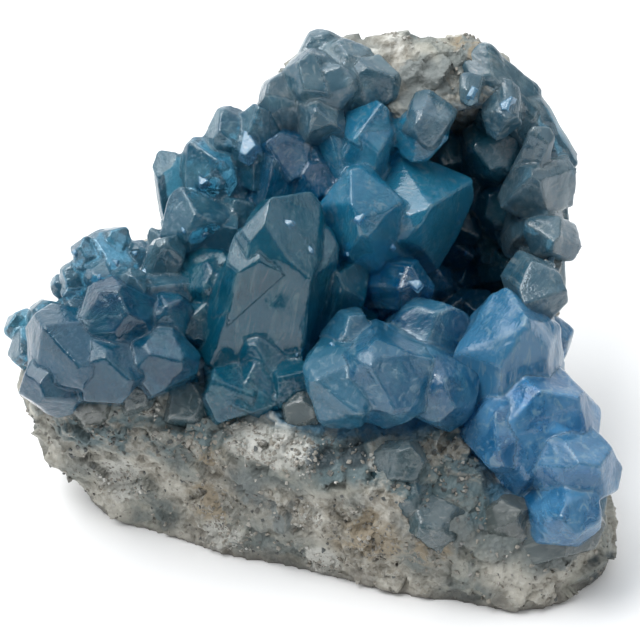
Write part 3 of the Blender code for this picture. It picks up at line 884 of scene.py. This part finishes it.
# Patches of the rock as the viewer sees them: to the right of and above the middle of the view, radius.
PATCHES = {
    "teal": (
        (-50, -22.5, 8), (-43, -24, 8), (-33, -23.5, 9), (-24, -20.5, 8), (-8, -17, 12),
        (1, -27, 9), (10, -27.5, 9), (20, -30, 10), (28, -30, 11), (-54, -17.5, 8),
        (36, -36, 9), (26, -24, 10), (-38, -14, 8),
    ),
    "arch": (
        (38.5, 43.7, 9), (45.8, 33.3, 10), (33, 38, 8), (47.8, 20.8, 8), (46, 8, 6), (4, 46, 9),
    ),
    "grey": (
        (-8, -40, 7), (24.3, -42.6, 10), (50, -45, 11), (-14, -35.5, 8), (20.2, 48.9, 8),
        (38, -44, 8), (26, 47, 6), (30, 52, 7),
    ),
    "tan": ((-22.5, -38.5, 7), (9.4, -45.8, 9), (-25, -28, 6), (32, 57, 5), (22, -48, 6)),
    "snow": (
        (-36.2, -12.7, 4), (-26.6, -11.6, 2.2), (-13.1, -23.3, 5), (-14, -17, 2.5), (-18, -21, 3),
        (-8, -25, 3.5), (-16.5, -27, 4), (-11, -29.5, 3.5), (-35.4, -18.7, 2.5), (-3, -41, 4),
        (-41.6, -33.4, 6), (-4.2, -28.2, 5), (12.5, -29.1, 3), (9, 57, 4), (9.4, 46.5, 5),
        (16, 58, 4), (14, 41, 5), (-20, -46, 6), (0, -50, 5), (37.5, -32, 2),
    ),
    # Dark patches; the three below the frosted crystals are painted shade in the gap under them.
    "dark": (
        (58.2, -52, 5), (0, -28.5, 3.5), (7, -27.5, 3.5), (14, -27, 4), (37.9, -44.1, 2),
        (34.9, -32.9, 2.5),
    ),
}
# Each kind of patch with its colour and how ragged it is.
PATCH_COLOURS = (
    ("grey", (0.14, 0.165, 0.165), 0.6),
    ("tan", (0.30, 0.25, 0.175), 0.9),
    ("teal", (0.085, 0.14, 0.155), 0.7),
    ("arch", (0.13, 0.20, 0.24), 0.6),
    # The bed: blue of the crystal lining, darkened as painted shade in the recesses between the crystals.
    ("bed", (0.035, 0.12, 0.19), 0.3),
    ("snow", (0.56, 0.56, 0.52), 0.9),
    # Dark patches, in part painted shade in the gap under the frosted crystals.
    ("dark", (0.03, 0.05, 0.06), 1.0),
)
# Where a patch starts to show and shows in full, and how much it covers then.
PATCH_RANGE = (0.15, 0.85)
PATCH_SHARE = 0.9
PATCH_REACH = 1.2
# Dark and light colours of smooth and of gritty rock, and the colours of crumbs, specks and the darker faces
# near the base.
SMOOTH_COLOURS = ((0.135, 0.16, 0.155), (0.33, 0.33, 0.285))
GRITTY_COLOURS = ((0.26, 0.24, 0.195), (0.48, 0.46, 0.40))
CRUMB_COLOUR = (0.56, 0.55, 0.50)
CRUMB_SHARE = 0.6
SPECK_COLOUR = (0.05, 0.045, 0.04)
SPECK_SHARE = 0.3
BASE_DARK_COLOUR = (0.10, 0.09, 0.08)
ROCK_ROUGHNESS = (0.45, 0.85)
ROCK_RELIEF = 0.35
# The darkening near the base: its height, where its edge lies as a share of that, its fade and its rags,
# how far up its faces may look, and how much it darkens.
BASE_DARK_HEIGHT = 5.0
BASE_DARK_LEVEL = 0.8
BASE_DARK_FADE = 1.5
BASE_DARK_RAGS = 4.0
BASE_DARK_SLOPE = 0.3
BASE_DARK_SHARE = 0.8
# Sizes and heights of the rock's relief: lumps, chips and pits.
LUMP_SIZE = 9.0
LUMP_HEIGHT = 0.7
COARSE_CHIP = 6.0
FINE_CHIP = 1.9
PIT_SIZE = 3.1
PIT_DEPTH = 2.0
PIT_LEVEL = 0.25
# How large the gritty parts of the rock are, and how sharply they end.
GRIT_SIZE = 11.0
GRIT_CONTRAST = 1.8
# Where the noise of pits and of grit starts.
PIT_START = Vector((9, 4, 2))
GRIT_START = Vector((2, 8, 5))
# How steeply the rock's chips tilt, and how far their borders wander and they step up and down, as shares
# of their size.
CHIP_TILT = 0.55
CHIP_WANDER = 0.25
CHIP_STEP = 0.15
CHIP_SEED = 7
# Where each chip's tilt and level are drawn from.
TILT_DRAW = 7.3
LEVEL_DRAW = 3.1
# The height above the flat base over which the relief grows to its full height.
BASE_FADE = 2.0
# How fast the bed's blue and its painted shade fade where the rock turns away, and the least turn of faces
# cut finer.
BED_FADE = 1.5
SEEN_LEAST = 0.05


def in_patches(points, surface, patches):
    """For each point, 1 at the middle of a patch and 0 outside all of them."""
    inside = np.zeros(len(points))
    for u, v, radius in patches:
        middle = np.array(bed_point(surface, u, v)[0])
        away = np.linalg.norm(points - middle, axis=1) / radius
        inside = np.maximum(inside, np.clip(PATCH_REACH - away, 0.0, 1.0))
    return inside


def finer_where_seen(rock):
    """Cuts the rock's faces smaller where the viewer sees bare rock."""
    back = view_axes()[2]
    hidden = covered(rock)
    only(rock)
    bpy.ops.object.mode_set(mode="EDIT")
    bpy.ops.mesh.select_all(action="DESELECT")
    bpy.ops.object.mode_set(mode="OBJECT")
    for face, is_hidden in zip(rock.data.polygons, hidden):
        face.select = not is_hidden and face.normal.dot(back) > SEEN_LEAST
    bpy.ops.object.mode_set(mode="EDIT")
    bpy.ops.mesh.subdivide(number_cuts=1)
    bpy.ops.object.mode_set(mode="OBJECT")


def broken(point, size):
    """The height of broken rock at a point: tilted flat chips of about the size, at different levels."""
    warped = point + CHIP_WANDER * size * noise.noise_vector(point / size)
    middle = noise.voronoi(warped / size)[1][0] * size
    tilt = noise.cell_vector(middle * TILT_DRAW / size) - Vector((0.5, 0.5, 0.5))
    level = noise.cell(middle * LEVEL_DRAW / size) - 0.5
    return CHIP_TILT * (warped - middle).dot(tilt) + CHIP_STEP * size * level


def rock_relief(points):
    """For each point, how far it is pushed out, and how gritty the rock is there."""
    noise.seed_set(CHIP_SEED)
    depth, grit = [], []
    for row in points:
        point = Vector(row)
        lump = noise.noise(point / LUMP_SIZE)
        pit = max(0.0, noise.noise(point / PIT_SIZE + PIT_START) - PIT_LEVEL)
        rough = min(1.0, max(0.0, 0.5 + GRIT_CONTRAST * noise.noise(point / GRIT_SIZE + GRIT_START)))
        grit.append(rough)
        depth.append(
            LUMP_HEIGHT * lump + broken(point, COARSE_CHIP) + rough * broken(point, FINE_CHIP)
            - PIT_DEPTH * rough * pit
        )
    return np.array(depth), grit


def base_darkening(points, normals):
    """For each point, how much it is darkened near the base, where its face points sideways or down."""
    rags = np.array([noise.noise(Vector(row) / BASE_DARK_RAGS) for row in points])
    low = np.clip((BASE_DARK_HEIGHT * (BASE_DARK_LEVEL + rags) - points[:, 2]) / BASE_DARK_FADE, 0.0, 1.0)
    return BASE_DARK_SHARE * low * np.clip(BASE_DARK_SLOPE - normals[:, 2], 0.0, 1.0)


def rock_skin(surface):
    """The rock with its broken, grainy surface, and what its material needs."""
    rock = cad_copy("host_rock", "host_rock_skin")
    apply_modifier(rock, "even faces", "REMESH", mode="VOXEL", voxel_size=ROCK_GRID)
    finer_where_seen(rock)
    points, normals = rows_of(rock, "co"), rows_of(rock, "normal")
    depth, grit = rock_relief(points)
    standing = np.clip(points[:, 2] / BASE_FADE, 0.0, 1.0)
    set_points(rock, points + normals * (depth * standing)[:, None])
    facing = np.clip(0.5 + BED_FADE * (normals @ np.array(view_axes()[2])), 0.0, 1.0)
    set_attribute(rock, "bed", facing * in_lumps(points, BED))
    set_attribute(rock, "grit", grit)
    for name, patches in PATCHES.items():
        set_attribute(rock, name, in_patches(points, surface, patches))
    set_attribute(rock, "base_darkening", base_darkening(points, normals))
    only(rock)
    bpy.ops.object.shade_smooth()
    return rock


# Grains broken from the rock, by the patch they lie on: how many, the sizes, how pale.
GRAINS = {
    "snow": (900, (0.3, 1.1), (0.3, 0.9)),
    "tan": (500, (0.4, 1.2), (0.2, 0.6)),
    "teal": (250, (0.5, 1.5), (0.0, 0.4)),
    "anywhere": (1100, (0.4, 1.3), (0.0, 0.7)),
}
GRAIN_FORMS = 6
GRAIN_SEED = 5
# A form is a turned block, cut a few times at some way from its middle. The turn is in radians.
GRAIN_BLOCK = 0.9
GRAIN_BLOCK_TURN = 3
GRAIN_CUTS = 5
GRAIN_CUT_REACH = (0.1, 0.45)
# How much smaller a grain may be, how far out or deep it sits as shares of its size, and its turn.
GRAIN_SHRINK = (0.5, 1.0)
GRAIN_SEAT = (-0.25, 0.1)
GRAIN_TURN = 6.3
# Grains lie where the rock faces the viewer by this much, is this bare and is this far above its base.
GRAIN_FACING = 0.1
GRAIN_BARE = 0.3
GRAIN_BASE = 1.5
# Colours of the grains at no, half and full shade.
GRAIN_COLOURS = ((0.09, 0.10, 0.10), (0.30, 0.28, 0.24), (0.62, 0.62, 0.59))
GRAIN_ROUGHNESS = 0.35
GRAIN_IOR = 1.55


def chip_forms():
    """Chips one unit wide, each a block cut by flat planes, that the grains repeat."""
    rng = random.Random(GRAIN_SEED)
    forms = []
    for number in range(GRAIN_FORMS):
        turn = (rng.uniform(0, GRAIN_BLOCK_TURN), rng.uniform(0, GRAIN_BLOCK_TURN), 0)
        bpy.ops.mesh.primitive_cube_add(size=GRAIN_BLOCK, rotation=turn)
        chip = bpy.context.object
        chip.name = f"chip_{number}"
        planes = []
        for _ in range(GRAIN_CUTS):
            across = strewn(rng).normalized()
            planes.append((across * rng.uniform(*GRAIN_CUT_REACH), across))
        cut_block(planes)
        forms.append(chip)
    return forms


def grain_weights(rock, kind, seen):
    """How likely a grain of the kind lies at each point of the rock."""
    weights = np.where(seen, 1.0, 0.0)
    if kind != "anywhere":
        held = np.zeros(len(weights), dtype=np.float32)
        rock.data.attributes[kind].data.foreach_get("value", held)
        weights *= held
    return weights.tolist()


def rock_grains(rock):
    """Loose-looking grains half sunk in the bare rock that the viewer sees."""
    rng = random.Random(GRAIN_SEED)
    points, normals = rows_of(rock, "co"), rows_of(rock, "normal")
    seen = normals @ np.array(view_axes()[2]) > GRAIN_FACING
    seen &= (in_lumps(points, GROWTH) < GRAIN_BARE) & (points[:, 2] > GRAIN_BASE)
    forms = chip_forms()
    grains, pale = [], []
    for kind, (number, sizes, shades) in GRAINS.items():
        for index in rng.choices(range(len(points)), weights=grain_weights(rock, kind, seen), k=number):
            form = rng.choice(forms)
            size = rng.uniform(*sizes) * rng.uniform(*GRAIN_SHRINK)
            turn = Euler([rng.uniform(0, GRAIN_TURN) for _ in range(3)]).to_matrix().to_4x4()
            seat = Vector(points[index]) + Vector(normals[index]) * size * rng.uniform(*GRAIN_SEAT)
            place = Matrix.Translation(seat) @ turn @ Matrix.Scale(size, 4)
            grain = placed_copy(form, f"grain_{len(grains)}", place)
            pale += [rng.uniform(*shades)] * len(grain.data.vertices)
            grains.append(grain)
    for form in forms:
        bpy.data.objects.remove(form)
    made = join(grains, "rock_grains")
    set_attribute(made, "shade", pale)
    return made


def grain_material():
    """Small chips from dark grey to sugary white."""
    made, tree, shader = principled("rock grains")
    shade = attribute(tree, "shade")
    dark, middling, white = GRAIN_COLOURS
    colour = blend(tree, ramp(tree, shade, 0.0, 0.5), dark, middling)
    colour = blend(tree, ramp(tree, shade, 0.5, 1.0), colour, white)
    feed(tree, shader, {"Base Color": colour, "Roughness": GRAIN_ROUGHNESS, "IOR": GRAIN_IOR})
    return made


# Stage

# The sky's strength away from its bright part and in it, the direction of that part, and where it starts.
SKY_STRENGTH = (0.16, 1.5)
SKY_DIRECTION = (-0.25, 0.72, 0.65)
SKY_RANGE = (-0.1, 1.0)
SKY_COLOUR = (0.94, 0.97, 1.0)
# The floor's size is in metres, and so is how near the camera sees.
FLOOR_SIZE = 6.0
FLOOR_COLOUR = (0.92, 0.92, 0.92)
FLOOR_ROUGHNESS = 0.9
NEAREST_SEEN = 0.01


def add_floor():
    """A pale floor under the geode."""
    bpy.ops.mesh.primitive_plane_add(size=FLOOR_SIZE)
    floor = bpy.context.object
    floor.name = "floor"
    made, tree, shader = principled("pale floor")
    feed(tree, shader, {"Base Color": FLOOR_COLOUR, "Roughness": FLOOR_ROUGHNESS})
    floor.data.materials.append(made)


def add_light(name, azimuth, elevation, distance, size, power):
    """A square soft light that faces the geode, given in metres and watts."""
    back = light_direction(azimuth, elevation)
    target = VIEW_CENTRE * MM
    bpy.ops.object.light_add(type="AREA", location=target + back * distance)
    light = bpy.context.object
    light.name = name
    light.rotation_euler = back.to_track_quat("Z", "Y").to_euler()
    light.data.size = size
    light.data.energy = power


def add_world():
    """Soft light from all round, brighter from above and behind."""
    world = bpy.data.worlds.new("soft studio")
    world.use_nodes = True
    tree = world.node_tree
    around = add(tree, "ShaderNodeTexCoord").outputs["Generated"]
    bright = add(tree, "ShaderNodeVectorMath", {0: around, 1: SKY_DIRECTION}, operation="DOT_PRODUCT")
    sky = ramp(tree, bright.outputs["Value"], *SKY_RANGE, *SKY_STRENGTH)
    feed(tree, tree.nodes["Background"], {"Color": SKY_COLOUR, "Strength": sky})
    bpy.context.scene.world = world


def add_camera():
    """The camera that sees the geode as the viewer does."""
    back = view_axes()[2]
    bpy.ops.object.camera_add(location=(VIEW_CENTRE + back * VIEW_DISTANCE) * MM)
    camera = bpy.context.object
    camera.rotation_euler = back.to_track_quat("Z", "Y").to_euler()
    camera.data.sensor_width = SENSOR_WIDTH
    camera.data.lens = 0.5 * SENSOR_WIDTH * VIEW_DISTANCE / VIEW_HALF_WIDTH
    camera.data.clip_start = NEAREST_SEEN
    bpy.context.scene.camera = camera


def grown_crystals(surface):
    """Every crystal and facet: name, crystal and place."""
    grown = large_crystals(surface)
    rock = cad_copy("host_rock", "bare_rock")
    grown += druse(rock, grown, cad_faces("host_rock", "celestite_crust"))
    grown += glint_chips([crystal for _, crystal, _ in grown] + [rock])
    bpy.data.objects.remove(rock)
    return grown


def add_clusters(grown):
    """Grows the crystals of each cluster together and finishes it."""
    veils = veils_group()
    for cluster_name, (words, finish_name) in CLUSTERS.items():
        finish = FINISHES[finish_name]
        members = [(crystal, place) for name, crystal, place in grown if name.split("_")[0] in words]
        cluster = grow_together(cluster_name, members, finish)
        material = celestite("celestite " + finish_name, finish, veils)
        finish_piece(cluster, material, "celestite", "celestite_crust")


def add_rock(surface):
    """The rock's skin and the grains on it."""
    skin = rock_skin(surface)
    grains = rock_grains(skin)
    finish_piece(skin, rock_material(grain_group()), "host_rock", "host_rock")
    finish_piece(grains, grain_material(), "host_rock", "host_rock")


surface = cad_faces("host_rock")
add_clusters(grown_crystals(surface))
add_rock(surface)
add_floor()
add_light("key light", *KEY)
add_light("fill light", *FILL)
add_light("window", *WINDOW)
add_world()
add_camera()
bpy.context.scene.view_settings.view_transform = "Standard"
